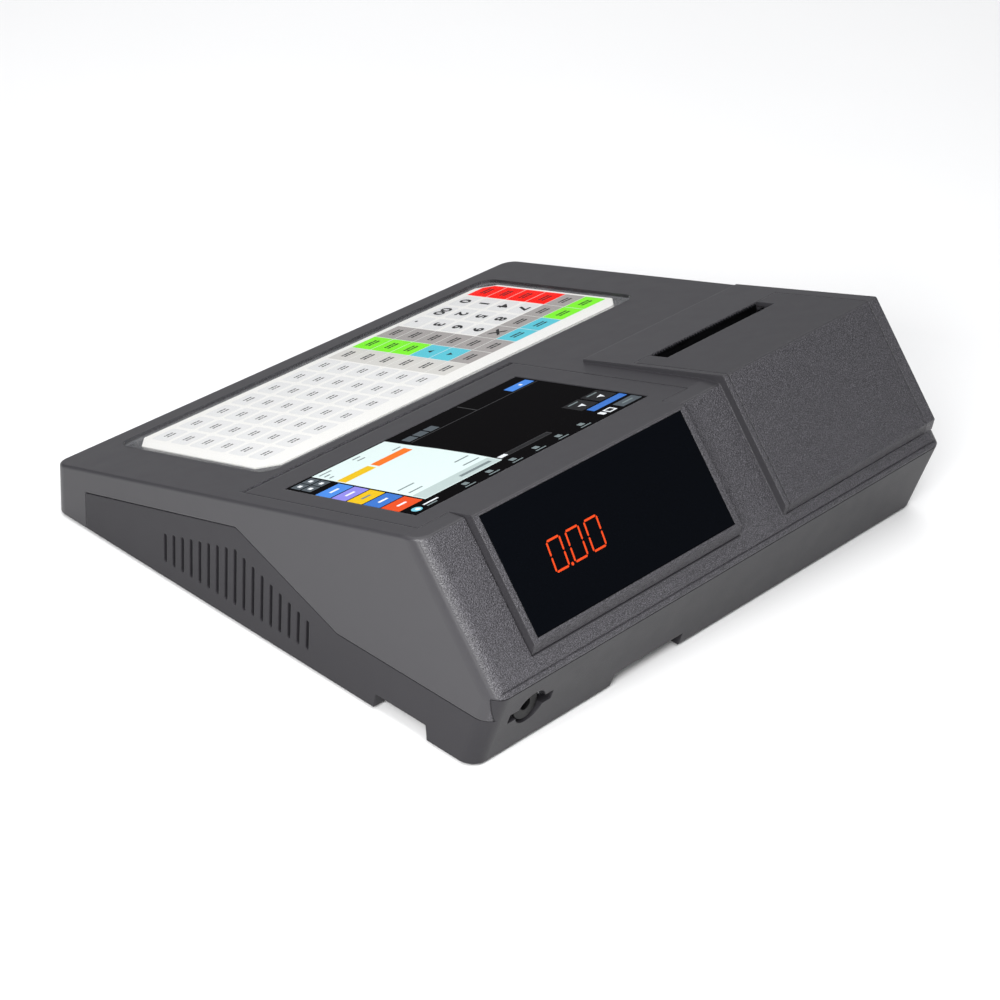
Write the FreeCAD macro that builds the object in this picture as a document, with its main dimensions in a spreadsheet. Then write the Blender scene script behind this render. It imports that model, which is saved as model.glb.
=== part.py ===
"""Desktop cash register with a flat keyboard, a tilting operator display and a receipt printer.

Frame: millimetres, +Z up. The operator sits on the -Y side, the customer stands on the +Y side,
and +X is the operator's right. The origin is the middle of the footprint, on the table.

Four ways of giving a place are used below, each as text that the spreadsheet works out:
  side(y, z)   y back from the front edge, z up from the case's lower edge
  top(s, up)   s back along the sloping top from the front edge, up out of that surface
  slope(d, up) d down the customer's slope from the ridge, up out of that surface
"""
import FreeCAD, Part
import math
import os
import re
import Sketcher

DIMENSIONS = {
    # case
    "case_width": 326, "case_depth": 296, "front_height": 25.6, "top_tilt": 17, "slope_tilt": 49,
    "main_top_length": 246.4, "ridge_y": 245.2, "ridge_height": 99.5, "bottom_depth": 284.2,
    "wall": 2.5, "foot_drop": 2, "corner_radius": 8, "edge_radius": 1.5, "seam": 0.4,
    "groove": 0.7, "lip_height": 3,
    # arched parting line on both sides
    "arch_front": 24.5, "arch_front_height": 20, "arch_peak": 131, "arch_peak_height": 51.5,
    "arch_rear": 198.5, "waist_height": 27.2, "rear_seam_height": 40.3, "rear_seam_y": 291.2,
    # side vents
    "vent_count": 17, "vent_first": 82.5, "vent_pitch": 6.06, "vent_width": 1.9,
    "vent_floor": 8.9, "vent_peak": 39.6, "vent_drop": 1.86,
    # cable ways in the underside
    "way_height": 7.6, "side_way_front": 222, "side_way_rear": 257, "rear_way_left": 24,
    "rear_way_right": 72, "bay_left": 40, "bay_right": 118, "bay_front": 205, "bay_height": 22,
    # keyboard
    "key_left": -132, "key_right": 132, "key_front": 11.6, "key_rear": 123.2, "key_corner": 8,
    "key_depth": 4, "sheet_margin": 4.6, "sheet_chamfer": 9, "board_thickness": 1.6,
    "dome_thickness": 0.9, "foil_thickness": 0.5, "cover_rim": 0.25,
    # operator display
    "bezel_left": -27, "bezel_right": 153.4, "bezel_front": 130.2, "bezel_depth": 5,
    "bezel_wall": 2, "bezel_knuckle": 3, "tilt_gap": 0.8, "tub_depth": 17, "back_depth": 15,
    "back_inset": 3.2, "screen_left": -11.8, "screen_width": 154.2, "screen_front": 148.4,
    "screen_height": 85.9, "glass_thickness": 1.1, "panel_width": 165, "panel_height": 100,
    "panel_thickness": 5.7, "hinge_pin_radius": 1.3, "pin_play": 0.05, "pin_length": 8.2,
    # customer display on the flap of the same unit
    "flap_left": -8.5, "flap_right": 134, "flap_length": 62.5, "proud": 4.6,
    "flap_tub_depth": 13.5, "window_left": -4.6, "window_right": 130.4, "window_top": 2.2,
    "window_length": 58.2, "window_thickness": 2, "flap_ridge": 0.9,
    "digit_left": 8, "digit_block": 50, "digit_top": 24, "digit_height": 19, "digit_depth": 7,
    # printer housing and lid
    "house_left": -39.3, "house_right": -158.8, "house_front": 169, "house_rise_front": 1.8,
    "house_rise_rear": 3.1, "house_ridge": -2.47,
    "lid_left": -42.6, "lid_right": -151.5, "lid_front": 200.5, "lid_gap": 0.4,
    "lid_wall": 2.2, "lid_length": 65, "slot_left": -53.4, "slot_right": -136.5,
    "slot_width": 11.6, "cover_pin_down": 65.6, "cover_pin_up": 1.7, "cover_pin_radius": 0.9,
    # paper and print mechanism
    "paper_width": 79.5, "paper_middle": -95, "roll_radius": 30, "core_radius": 8.5,
    "core_bore": 6.5, "roll_y": 247.5, "roll_z": 46, "bucket_play": 1.6, "bucket_wall": 2,
    "platen_radius": 6, "platen_y": 202.3, "platen_z": 76, "platen_length": 82,
    "shaft_radius": 2.5, "gear_face": 3.6, "gear_left": -144.6, "gear_size": 0.6,
    "platen_teeth": 24, "idler_teeth": 28, "motor_teeth": 14, "mesh_play": 0.15,
    "idler_lean": 17.4, "motor_lean": 135, "motor_radius": 12.5, "motor_length": 15,
    # boards and connectors
    "board_height": 9, "board_left": -12, "board_right": 150, "board_front": 48, "board_rear": 186,
    "inlet_x": 135, "inlet_z": 23.3, "inlet_radius": 9, "inlet_ears": 28, "ear_height": 5.4,
    # feet and screws
    "foot_radius": 7.5, "foot_height": 3, "foot_inset": 22,
    "screw_inset": 7, "screw_radius": 1.4, "head_radius": 2.8,
}

doc = FreeCAD.newDocument("cash_register")
dims = doc.addObject("Spreadsheet::Sheet", "Dims")
for row, (alias, amount) in enumerate(DIMENSIONS.items(), 1):
    dims.set(f"A{row}", alias)
    dims.set(f"B{row}", str(amount))
    dims.setAlias(f"B{row}", alias)
doc.recompute()

X_AXIS = FreeCAD.Vector(1, 0, 0)
NODES = []
ALIAS = re.compile(r"\b(" + "|".join(sorted(DIMENSIONS, key=len, reverse=True)) + r")\b")


# ---------------------------------------------------------------- helpers

def size(alias):
    """The number in one cell of the sheet."""
    return float(getattr(dims, alias))


def bind(thing, prop, text):
    """Ties a property to a sum of sheet cells."""
    thing.setExpression(prop, ALIAS.sub(r"Dims.\1", text))


def side(y, z):
    return f"{y} - case_depth / 2", f"{z} + foot_drop"


def top(s, up="0"):
    return (f"({s}) * cos(top_tilt) - ({up}) * sin(top_tilt) - case_depth / 2",
            f"front_height + ({s}) * sin(top_tilt) + ({up}) * cos(top_tilt) + foot_drop")


def slope(d, up="0"):
    return (f"ridge_y + ({d}) * cos(slope_tilt) + ({up}) * sin(slope_tilt) - case_depth / 2",
            f"ridge_height - ({d}) * sin(slope_tilt) + ({up}) * cos(slope_tilt) + foot_drop")


def place(thing, x, yz, tilt=None, turn=0.0):
    """Puts a thing at x and a (y, z) pair, leaned about X by a cell or by a fixed turn."""
    if tilt:
        turn = size(tilt.strip("-")) * (-1 if tilt.startswith("-") else 1)
    thing.Placement = FreeCAD.Placement(FreeCAD.Vector(), FreeCAD.Rotation(X_AXIS, turn))
    for axis, text in zip("xyz", (x, *yz)):
        bind(thing, f"Placement.Base.{axis}", text)
    if tilt:
        bind(thing, "Placement.Rotation.Angle", tilt)


def outline(body, name, plane_role, corners, depth):
    """A closed sketch on one of the body's own planes, each corner tied to the sheet."""
    sketch = body.newObject("Sketcher::SketchObject", name)
    plane = [part for part in body.Origin.OriginFeatures if part.Role == plane_role][0]
    sketch.AttachmentSupport = [(plane, "")]
    sketch.MapMode = "FlatFace"
    bind(sketch, "AttachmentOffset.Base.z", depth)
    count = len(corners)
    turn = [2 * math.pi * i / count for i in range(count)]
    start = [FreeCAD.Vector(50 * math.cos(a), -50 * math.sin(a), 0) for a in turn]
    sketch.addGeometry([Part.LineSegment(start[i], start[(i + 1) % count]) for i in range(count)])
    for i in range(count):
        sketch.addConstraint(Sketcher.Constraint("Coincident", i, 2, (i + 1) % count, 1))
    for i, (across, upward) in enumerate(corners):
        for kind, begin, text in (("DistanceX", start[i].x, across), ("DistanceY", start[i].y, upward)):
            number = sketch.addConstraint(Sketcher.Constraint(kind, -1, 1, i, 1, begin))
            bind(sketch, f"Constraints[{number}]", text)
    return sketch


def prism(name, low, high, corners):
    """A body whose outline is drawn looking along X and padded from x = low to x = high."""
    body = doc.addObject("PartDesign::Body", name)
    sketch = outline(body, name + "_outline", "YZ_Plane", corners, low)
    pad = body.newObject("PartDesign::Pad", name + "_pad")
    pad.Profile = sketch
    bind(pad, "Length", f"({high}) - ({low})")
    doc.recompute()
    return body


def slab(name, place_of, low, high, near, far, bottom, roof):
    """A straight-sided block between two x values, lying in the top, slope or side frame."""
    corners = [place_of(near, bottom), place_of(far, bottom), place_of(far, roof), place_of(near, roof)]
    return prism(name, low, high, corners)


def rod(name, radius, low, high, yz):
    """A cylinder along X."""
    thing = doc.addObject("Part::Cylinder", name)
    bind(thing, "Radius", radius)
    bind(thing, "Height", f"({high}) - ({low})")
    thing.Placement = FreeCAD.Placement(FreeCAD.Vector(), FreeCAD.Rotation(FreeCAD.Vector(0, 1, 0), 90))
    for axis, text in zip("xyz", (low, *yz)):
        bind(thing, f"Placement.Base.{axis}", text)
    return thing


def post(name, radius, x, yz, height):
    """A cylinder standing along Z."""
    thing = doc.addObject("Part::Cylinder", name)
    bind(thing, "Radius", radius)
    bind(thing, "Height", height)
    place(thing, x, yz)
    return thing


def stub(name, radius, x, yz, length):
    """A cylinder along +Y."""
    thing = post(name, radius, x, yz, length)
    thing.Placement.Rotation = FreeCAD.Rotation(X_AXIS, -90)
    return thing


def fuse(name, things):
    whole = doc.addObject("Part::MultiFuse", name)
    whole.Shapes = things
    whole.Refine = True
    doc.recompute()
    return whole


def cut(name, base, tools):
    result = doc.addObject("Part::Cut", name)
    result.Base = base
    result.Tool = tools[0] if len(tools) == 1 else fuse(name + "_tools", tools)
    result.Refine = True
    doc.recompute()
    return result


def common(name, base, tool):
    result = doc.addObject("Part::Common", name)
    result.Base = base
    result.Tool = tool
    doc.recompute()
    return result


def group(name, things):
    """Several separate solids that make one node, such as a set of screws."""
    whole = doc.addObject("Part::Compound", name)
    whole.Links = things
    doc.recompute()
    return whole


def round_edges(name, base, radius, chosen):
    """Rounds the edges that chosen(direction, middle) picks."""
    doc.recompute()
    picked = []
    for number, edge in enumerate(base.Shape.Edges, 1):
        first, last = edge.Vertexes[0].Point, edge.Vertexes[-1].Point
        if first.distanceToPoint(last) > 0 and chosen((last - first).normalize(), (first + last) * 0.5):
            picked.append((number, radius, radius))
    result = doc.addObject("Part::Fillet", name)
    result.Base = base
    result.Edges = picked
    doc.recompute()
    return result


def upright_corners(tilt):
    """Chooses the edges that stand square to a surface leaned about X by tilt degrees."""
    normal = FreeCAD.Rotation(X_AXIS, tilt).multVec(FreeCAD.Vector(0, 0, 1))
    return lambda direction, middle: abs(direction.dot(normal)) > 0.99


def node(name, thing):
    """Names a finished sub-part: the label is the name of its file."""
    thing.Label = name
    NODES.append(thing)
    return thing


def ridge_of(base):
    """Chooses the highest edge that runs along X."""
    roof = base.Shape.BoundBox.ZMax
    return lambda direction, middle: abs(direction.x) > 0.99 and middle.z > roof - 0.05


# ---------------------------------------------------------------- case

HALF = "case_width / 2"
WAIST_Z = "ridge_height - (case_depth - ridge_y) * tan(slope_tilt)"
SLOPE_LENGTH = "(case_depth - ridge_y) / cos(slope_tilt)"


def on_side(direction, middle):
    """Edges that run along the case's two side faces behind the ridge, and the front corners."""
    behind = middle.y > size("ridge_y") - size("case_depth") / 2 + 1
    front = middle.y < 1 - size("case_depth") / 2 + size("wall")
    return abs(direction.x) < 0.01 and (behind or front) and middle.z > size("foot_drop") + size("wall") + 1


def case_block(name, inset):
    """The case as a solid, or the space inside it when inset is the wall."""
    corners = [
        side(inset, inset),
        side(inset, f"front_height + {inset} * tan(top_tilt) - {inset} / cos(top_tilt)"),
        top("main_top_length", f"-{inset}"),
        slope(f"{inset} / 2", f"-{inset}"),
        slope(f"{SLOPE_LENGTH} - {inset} / 2", f"-{inset}"),
        side(f"bottom_depth - {inset}", inset),
    ]
    block = prism(name + "_block", f"{inset} - {HALF}", f"{HALF} - {inset}", corners)
    radius = size("corner_radius") - (size("wall") if inset == "wall" else 0)
    return round_edges(name + "_rounded", block, radius, on_side)


case_outside = case_block("case_outside", "0")
case_inside = case_block("case_inside", "wall")


def long_edge(direction, middle):
    """The ridge, the front edge and the waist, which all run the full width."""
    return abs(direction.x) > 0.99 and middle.z > size("foot_drop") + 1


case_outside = round_edges("case_softened", case_outside, size("edge_radius"), long_edge)
case_shell = cut("case_shell", case_outside, [case_inside])

# The lower case is everything under the arched line; the upper case is the rest.
lower_region = prism("lower_region", f"-{HALF} - 10", f"{HALF} + 10", [
    side("arch_front", "-10"), side("arch_front", "arch_front_height"),
    side("arch_peak", "arch_peak_height"), side("arch_rear", "waist_height"),
    side("rear_seam_y", "waist_height"), side("rear_seam_y", "rear_seam_height"),
    side("case_depth + 10", "rear_seam_height"), side("case_depth + 10", "-10")])
seam_region = prism("seam_region", f"-{HALF} - 10", f"{HALF} + 10", [
    side("arch_front - seam", "-10"), side("arch_front - seam", "arch_front_height + seam"),
    side("arch_peak", "arch_peak_height + seam"), side("arch_rear", "waist_height + seam"),
    side("rear_seam_y - seam", "waist_height + seam"), side("rear_seam_y - seam", "rear_seam_height + seam"),
    side("case_depth + 10", "rear_seam_height + seam"), side("case_depth + 10", "-10")])


# ---------------------------------------------------------------- lower case

def vent_slots():
    """Round-ended slots across the shell's two side walls, tallest in the middle of the row."""
    slots = []
    for i in range(int(size("vent_count"))):
        step = abs(i - (int(size("vent_count")) - 1) // 2)
        middle = f"vent_first + {i} * vent_pitch"
        tall = f"vent_peak - {step} * vent_drop"
        slots.append(slab(f"vent_{i}", side, f"-{HALF} - 5", f"{HALF} + 5", f"{middle} - vent_width / 2",
                          f"{middle} + vent_width / 2", "vent_floor + vent_width / 2",
                          f"{tall} - vent_width / 2"))
        for end, height in (("foot", "vent_floor + vent_width / 2"), ("head", f"{tall} - vent_width / 2")):
            slots.append(rod(f"vent_{i}_{end}", "vent_width / 2", f"-{HALF} - 5", f"{HALF} + 5",
                             side(middle, height)))
    return slots


FEET = [(sx, y) for sx in (-1, 1) for y in ("arch_front + foot_radius + 3", "bottom_depth - foot_inset + 8")]
CASE_SCREWS = [(sx, y) for sx in (-1, 1) for y in ("40", "140", "212")]
BOARD_POSTS = [(x, y) for x in ("board_left + 6", "board_right - 6")
               for y in ("board_front + 6", "board_rear - 6")]
PRINTER_POSTS = [(x, y) for x in ("-54", "-136") for y in ("181", "191")]
POST_RADIUS = "3.6"
SCREW_X = f"({HALF} - screw_inset)"
REAR_LEAN = f"(case_depth - bottom_depth) / ({WAIST_Z})"


def lower_case():
    shell = cut("vented_shell", common("lower_shell", case_shell, lower_region), vent_slots())
    bay_roof = slab("bay_roof", side, "bay_left - 2", "bay_right + 2", "bay_front - 2", "side_way_rear + 2",
                    "0", "bay_height + 2")
    side_way_roof = slab("side_way_roof", side, "bay_right", f"{HALF} - 1", "side_way_front - 2",
                         "side_way_rear + 2", "0", "way_height + 2")
    rear_way_roof = slab("rear_way_roof", side, "rear_way_left - 2", "rear_way_right + 2",
                         "side_way_rear - 4", "bottom_depth - 1.5", "0", "way_height + 2")
    inlet_wall = prism("inlet_wall", "inlet_x - 17", "inlet_x + 17", [
        side("bottom_depth + 1", "12"), side(f"bottom_depth + 12 * {REAR_LEAN} - 1", "12"),
        side(f"bottom_depth + 35 * {REAR_LEAN} - 1", "35"), side("bottom_depth + 1", "35")])
    solids = [shell, bay_roof, side_way_roof, rear_way_roof, inlet_wall]
    for i, (x, y) in enumerate(BOARD_POSTS):
        solids.append(post(f"board_post_{i}", POST_RADIUS, x, side(y, "1"), "board_height - 1"))
    for i, (sx, y) in enumerate(CASE_SCREWS):
        solids.append(post(f"case_boss_{i}", "5", f"{sx} * {SCREW_X}", side(y, "0.5"), "12"))
    for i, (x, y) in enumerate(PRINTER_POSTS):
        solids.append(post(f"printer_post_{i}", POST_RADIUS, x, side(y, "1"), "28"))
    for i, y in enumerate(("222", "273")):
        solids.append(slab(f"bucket_rib_{i}", side, "-132", "-58", f"{y} - 1.5", f"{y} + 1.5",
                           "1", "roll_z - 23.6"))
    body = fuse("lower_body", solids)

    tools = [slab("bay_space", side, "bay_left", "bay_right", "bay_front", "side_way_rear",
                  "-5", "bay_height")]
    tools.append(prism("side_way", "bay_right - 1", f"{HALF} + 5", [
        side("side_way_front", "-5"), side("side_way_front + 2", "way_height"),
        side("side_way_rear - 2", "way_height"), side("side_way_rear", "-5")]))
    tools.append(slab("rear_way", side, "rear_way_left", "rear_way_right", "side_way_rear - 3",
                      "case_depth + 5", "-5", "way_height"))
    tools.append(slab("bay_link", side, "bay_left - 1", "rear_way_right", "side_way_rear - 5",
                      "side_way_rear + 1", "-5", "way_height"))
    tools.append(slab("port_window", side, "bay_left + 6", "bay_right - 6", "bay_front - 5", "bay_front + 1",
                      "4", "18"))
    tools.append(stub("inlet_hole", "inlet_radius", "inlet_x", side("bottom_depth - 10", "inlet_z"), "30"))
    tools.append(slab("inlet_ear_slot", side, "inlet_x - inlet_ears / 2", "inlet_x + inlet_ears / 2",
                      "bottom_depth - 10", "case_depth + 5", "inlet_z - ear_height / 2",
                      "inlet_z + ear_height / 2"))
    for i, (sx, y) in enumerate(FEET):
        tools.append(post(f"foot_seat_{i}", "foot_radius + 0.2", f"{sx} * ({HALF} - foot_inset)",
                          side(y, "-1"), "2"))
    for i, (sx, y) in enumerate(CASE_SCREWS):
        x = f"{sx} * {SCREW_X}"
        tools.append(post(f"case_screw_way_{i}", "screw_radius + 0.2", x, side(y, "-1"), "20"))
        tools.append(post(f"case_screw_sink_{i}", "head_radius + 0.4", x, side(y, "-1"), "4"))
    for i, (x, y) in enumerate(BOARD_POSTS):
        tools.append(post(f"board_post_hole_{i}", "screw_radius", x, side(y, "3"), "board_height"))
    for i, (x, y) in enumerate(PRINTER_POSTS):
        tools.append(post(f"printer_post_hole_{i}", "screw_radius", x, side(y, "20"), "12"))
    return node("lower_case", cut("lower_case_cut", body, tools))


# ---------------------------------------------------------------- upper case

FLANK = "proud * tan(90 - slope_tilt)"
LID_RISE = ("(house_rise_front + (house_rise_rear - house_rise_front) * (lid_front - house_front)"
            " / (main_top_length + 10 - house_front))")


def house_profile(low_up):
    """Outline of the raised printer housing on the top and down the slope."""
    return [top("house_front", low_up), top("house_front", "house_rise_front"),
            slope("house_ridge", "proud"), slope("lid_length", "proud"), slope(f"lid_length + {FLANK}", "0"),
            slope("lid_length", low_up), slope("6", low_up), top("main_top_length", low_up)]


def upper_case():
    """The upper shell: keyboard recess, display tub, printer housing and the openings they need."""
    shell = cut("upper_shell", case_shell, [seam_region])
    key_backing = slab("key_backing", top, "key_left - 2.5", "key_right + 2.5", "key_front - 2.5",
                       "key_rear + 2.5", "-key_depth - 2", "-1")
    tub = slab("display_tub", top, "bezel_left - 2.4", "bezel_right + 2.4", "bezel_front - 4",
               "main_top_length + 2.4", "-tub_depth - 2", "-1")
    flap_tub = prism("flap_tub", "flap_left - 2.4", "flap_right + 2.4", [
        top("main_top_length - 30", "-1"), slope("3", "-1"), slope("flap_length + 8", "-1"),
        slope("flap_length + 8", "-6"), slope("flap_length - 4", "-flap_tub_depth - 2"),
        slope("12", "-flap_tub_depth - 2"), top("main_top_length - 18", "-tub_depth - 2"),
        top("main_top_length - 30", "-tub_depth - 2")])
    house = prism("printer_house", "house_right", "house_left", house_profile("-wall + 0.2"))
    house = round_edges("printer_house_round", house, size("edge_radius"), ridge_of(house))
    rail_walls = [slab(f"rail_wall_{i}", slope, low, high, "4", "lid_length + 5", "-7", "-1")
                  for i, (low, high) in enumerate((("lid_left + 0.4", "house_left"),
                                                   ("house_right", "lid_right - 0.4")))]
    bosses = [post(f"upper_boss_{i}", "4", f"{sx} * {SCREW_X}", side(y, "12.8"),
                   f"front_height + {y} * tan(top_tilt) - 12.8 - wall")
              for i, (sx, y) in enumerate(CASE_SCREWS)]
    body = fuse("upper_body", [shell, key_backing, tub, flap_tub, house, *rail_walls, *bosses])

    key_pocket = slab("key_pocket", top, "key_left", "key_right", "key_front", "key_rear", "-key_depth", "5")
    key_pocket = round_edges("key_pocket_round", key_pocket, size("key_corner"),
                             upright_corners(size("top_tilt")))
    ribbon_slot = slab("key_ribbon_slot", top, "30", "52", "66", "69", "-key_depth - 5", "0")
    tub_space = prism("tub_space", "bezel_left - seam", "bezel_right + seam", [
        top("bezel_front - tilt_gap", "5"), top("bezel_front - tilt_gap", "-bezel_knuckle"),
        top("bezel_front", "-tub_depth"), top("main_top_length + 0.4", "-tub_depth"),
        top("main_top_length + 0.4", "5")])
    flap_space = prism("flap_space", "flap_left - seam", "flap_right + seam", [
        top("main_top_length - 25", "5"), slope("-8", "8"), slope("flap_length", "8"),
        slope(f"flap_length + {FLANK} + 0.8", "0"),
        slope("flap_length + 0.5", "-5"), slope("flap_length - 6", "-flap_tub_depth"),
        slope("14", "-flap_tub_depth"), top("main_top_length - 20", "-tub_depth"),
        top("main_top_length - 25", "-tub_depth")])
    lid_space = prism("lid_space", "lid_right - lid_gap", "lid_left + lid_gap", [
        top("lid_front - lid_gap", "8"), top("lid_front - lid_gap", "-8"), top("lid_front", "-20"),
        slope("20", "-30"), slope("lid_length - 4", "-8"), slope("lid_length - 2.4", "-1"),
        slope(f"lid_length + {FLANK} + 0.3", "-0.4"),
        slope("lid_length + 0.3", "proud"), slope("lid_length", "12"), slope("0", "16")])
    knuckle_space = rod("knuckle_space", "3.85", "lid_right - lid_gap", "lid_left + lid_gap",
                        slope("cover_pin_down", "cover_pin_up"))
    pin_ways = [rod("cover_pin_way", "cover_pin_radius + 0.02", "lid_right - 5", "lid_left + 2.2",
                    slope("cover_pin_down", "cover_pin_up")),
                rod("display_pin_way", "hinge_pin_radius + 0.02", "bezel_left - 3", "bezel_right + 3",
                    top("bezel_front + bezel_knuckle", "-bezel_knuckle"))]
    groove_cut = slab("waist_groove", slope, f"-{HALF} - 5", f"{HALF} + 5", f"{SLOPE_LENGTH} - lip_height",
                      f"{SLOPE_LENGTH} - lip_height + groove", "-groove", "3")
    screw_ways = [post(f"upper_screw_way_{i}", "screw_radius - 0.1", f"{sx} * {SCREW_X}", side(y, "12"), "9")
                  for i, (sx, y) in enumerate(CASE_SCREWS)]
    inlet_room = slab("inlet_room", side, "inlet_x - 18", "inlet_x + 18", "bottom_depth - 5",
                      "rear_seam_y", "waist_height - 2", "inlet_z + 13")
    tools = [key_pocket, ribbon_slot, tub_space, flap_space, lid_space, knuckle_space, groove_cut,
             inlet_room, *pin_ways, *screw_ways]
    return node("upper_case", cut("upper_case_cut", body, tools))


# ---------------------------------------------------------------- keyboard

def key_layer(name, margin, bottom, roof, corner=0.0, chamfer=0.0):
    """One flat layer of the keyboard, set in from the recess by a margin."""
    layer = slab(name, top, f"key_left + {margin}", f"key_right - {margin}", f"key_front + {margin}",
                 f"key_rear - {margin}", bottom, roof)
    if corner:
        return round_edges(name + "_round", layer, corner, upright_corners(size("top_tilt")))
    if chamfer:
        result = doc.addObject("Part::Chamfer", name + "_chamfer")
        result.Base = layer
        stands = upright_corners(size("top_tilt"))
        result.Edges = [(number, chamfer, chamfer) for number, edge in enumerate(layer.Shape.Edges, 1)
                        if stands((edge.Vertexes[1].Point - edge.Vertexes[0].Point).normalize(), None)]
        doc.recompute()
        return result
    return layer


BOARD_TOP = "-key_depth + board_thickness"
DOME_TOP = f"{BOARD_TOP} + dome_thickness"
FOIL_TOP = f"{DOME_TOP} + foil_thickness"


def keyboard():
    """Switch board, rubber dome sheet, printed foil and clear cover, from the bottom up."""
    inner = size("key_corner") - size("seam")
    node("keyboard_board", key_layer("key_board", "seam", "-key_depth", BOARD_TOP, corner=inner))
    node("key_dome_sheet", key_layer("dome_layer", "2", BOARD_TOP, DOME_TOP, corner=inner - 1.6))
    node("key_foil", key_layer("foil_layer", "sheet_margin", DOME_TOP, FOIL_TOP,
                               chamfer=size("sheet_chamfer")))
    cover = key_layer("cover_layer", "seam", FOIL_TOP, "0", corner=inner)
    rim = key_layer("rim_layer", "seam", "-0.1", "cover_rim", corner=inner)
    rim_window = key_layer("rim_window", "2.6", "-0.5", "3", corner=inner - 2.2)
    rim_ring = cut("rim_ring", rim, [rim_window])
    node("keyboard_cover", fuse("cover_with_rim", [cover, rim_ring]))
    ribbon = prism("ribbon_strip", "32", "50", [
        top("67", "-key_depth"), top("67", "-key_depth - 6"), side("62", "board_height + 7.6"),
        side("62.4", "board_height + 7.6"), top("67.4", "-key_depth - 6"), top("67.4", "-key_depth")])
    node("keyboard_ribbon", ribbon)


# ---------------------------------------------------------------- display unit

def display_bezel():
    """Front shell: the plate round the screen, the hinge knuckle and the customer's frame."""
    plate = slab("bezel_plate", top, "bezel_left", "bezel_right", "bezel_front + bezel_knuckle",
                 "main_top_length", "-bezel_depth", "0")
    knuckle = rod("bezel_knuckle_rod", "bezel_knuckle", "bezel_left", "bezel_right",
                  top("bezel_front + bezel_knuckle", "-bezel_knuckle"))
    frame = prism("flap_frame", "flap_left", "flap_right", [
        top("main_top_length - 4", "-bezel_depth"), top("main_top_length - 4", "0"),
        slope("flap_ridge", "proud"), slope("flap_length", "proud"), slope(f"flap_length + {FLANK}", "0"),
        slope("flap_length + 1", "-3"), slope("2", "-3")])
    frame = round_edges("flap_frame_round", frame, size("edge_radius"), ridge_of(frame))
    solid = fuse("bezel_solid", [plate, knuckle, frame])
    screen = slab("screen_hole", top, "screen_left - 0.6", "screen_left + screen_width + 0.6",
                  "screen_front - 0.6", "screen_front + screen_height + 0.6", "-12", "5")
    panel_room = slab("panel_room", top, "bezel_left + bezel_wall", "bezel_right - bezel_wall",
                      "bezel_front + 8", "main_top_length - bezel_wall", "-12", "-bezel_wall")
    window = slab("window_hole", slope, "window_left - 0.2", "window_right + 0.2", "window_top",
                  "window_top + window_length + 0.4", "proud - window_thickness", "proud + 3")
    flap_room = slab("flap_room", slope, "flap_left + bezel_wall + 2.5", "flap_right - bezel_wall - 2.5",
                     "5", "flap_length - 4", "-12", "proud")
    pin_hole = rod("bezel_pin_hole_left", "hinge_pin_radius + pin_play", "bezel_left - 1",
                   "bezel_left + pin_length", top("bezel_front + bezel_knuckle", "-bezel_knuckle"))
    other_hole = rod("bezel_pin_hole_right", "hinge_pin_radius + pin_play", "bezel_right - pin_length",
                     "bezel_right + 1", top("bezel_front + bezel_knuckle", "-bezel_knuckle"))
    node("display_bezel", cut("bezel_cut", solid, [screen, panel_room, window, flap_room,
                                                   pin_hole, other_hole]))


def display_unit():
    display_bezel()
    node("screen_glass", slab("glass_layer", top, "screen_left - 0.4", "screen_left + screen_width + 0.4",
                              "screen_front - 0.4", "screen_front + screen_height + 0.4",
                              "-glass_thickness - 0.3", "-0.3"))
    middle = "screen_left + screen_width / 2"
    centre = "screen_front + screen_height / 2"
    node("screen_panel", slab("panel_layer", top, f"{middle} - panel_width / 2",
                              f"{middle} + panel_width / 2", f"{centre} - panel_height / 2",
                              f"{centre} + panel_height / 2", "-bezel_wall - panel_thickness",
                              "-bezel_wall"))
    node("screen_driver_board", slab("driver_layer", top, f"{middle} - 72", f"{middle} + 72",
                                     f"{centre} - 42", f"{centre} + 42", "-11.6", "-10"))
    tray = slab("back_tray", top, "bezel_left + back_inset", "bezel_right - back_inset", "bezel_front + 9",
                "main_top_length - back_inset", "-back_depth", "-bezel_depth")
    room = slab("back_tray_room", top, "bezel_left + back_inset + 1.8", "bezel_right - back_inset - 1.8",
                "bezel_front + 10.8", "main_top_length - back_inset - 1.8", "-back_depth + 1.8", "0")
    node("display_back_cover", cut("back_tray_cut", tray, [room]))
    flap_tray = prism("flap_tray", "flap_left + 1", "flap_right - 1", [
        slope("8", "-3"), slope("flap_length", "-3"), slope("flap_length - 4", "-9.6"), slope("12", "-9.6")])
    flap_tray_room = prism("flap_tray_room", "flap_left + 2.8", "flap_right - 2.8", [
        slope("10", "0"), slope("flap_length - 2", "0"), slope("flap_length - 6", "-8"), slope("13", "-8")])
    node("customer_back_cover", cut("flap_tray_cut", flap_tray, [flap_tray_room]))
    node("customer_window", slab("window_layer", slope, "window_left", "window_right", "window_top + 0.2",
                                 "window_top + window_length + 0.2", "proud - window_thickness",
                                 "proud - 0.2"))
    node("customer_board", slab("customer_pcb", slope, "window_left + 3", "window_right - 3", "13",
                                "flap_length - 7.5", "-6.6", "-5"))
    blocks = [slab(f"digit_block_{i}", slope, f"digit_left + {i} * digit_block",
                   f"digit_left + {i + 1} * digit_block - 0.3", "digit_top", "digit_top + digit_height",
                   "-5", "-5 + digit_depth - 0.2") for i in range(2)]
    node("customer_digits", group("digit_blocks", blocks))
    pins = (("display_hinge_pin_left", "bezel_left - 2.8", "bezel_left + pin_length - 0.4"),
            ("display_hinge_pin_right", "bezel_right - pin_length + 0.4", "bezel_right + 2.8"))
    for name, low, high in pins:
        node(name, rod(name + "_rod", "hinge_pin_radius", low, high,
                       top("bezel_front + bezel_knuckle", "-bezel_knuckle")))


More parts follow.
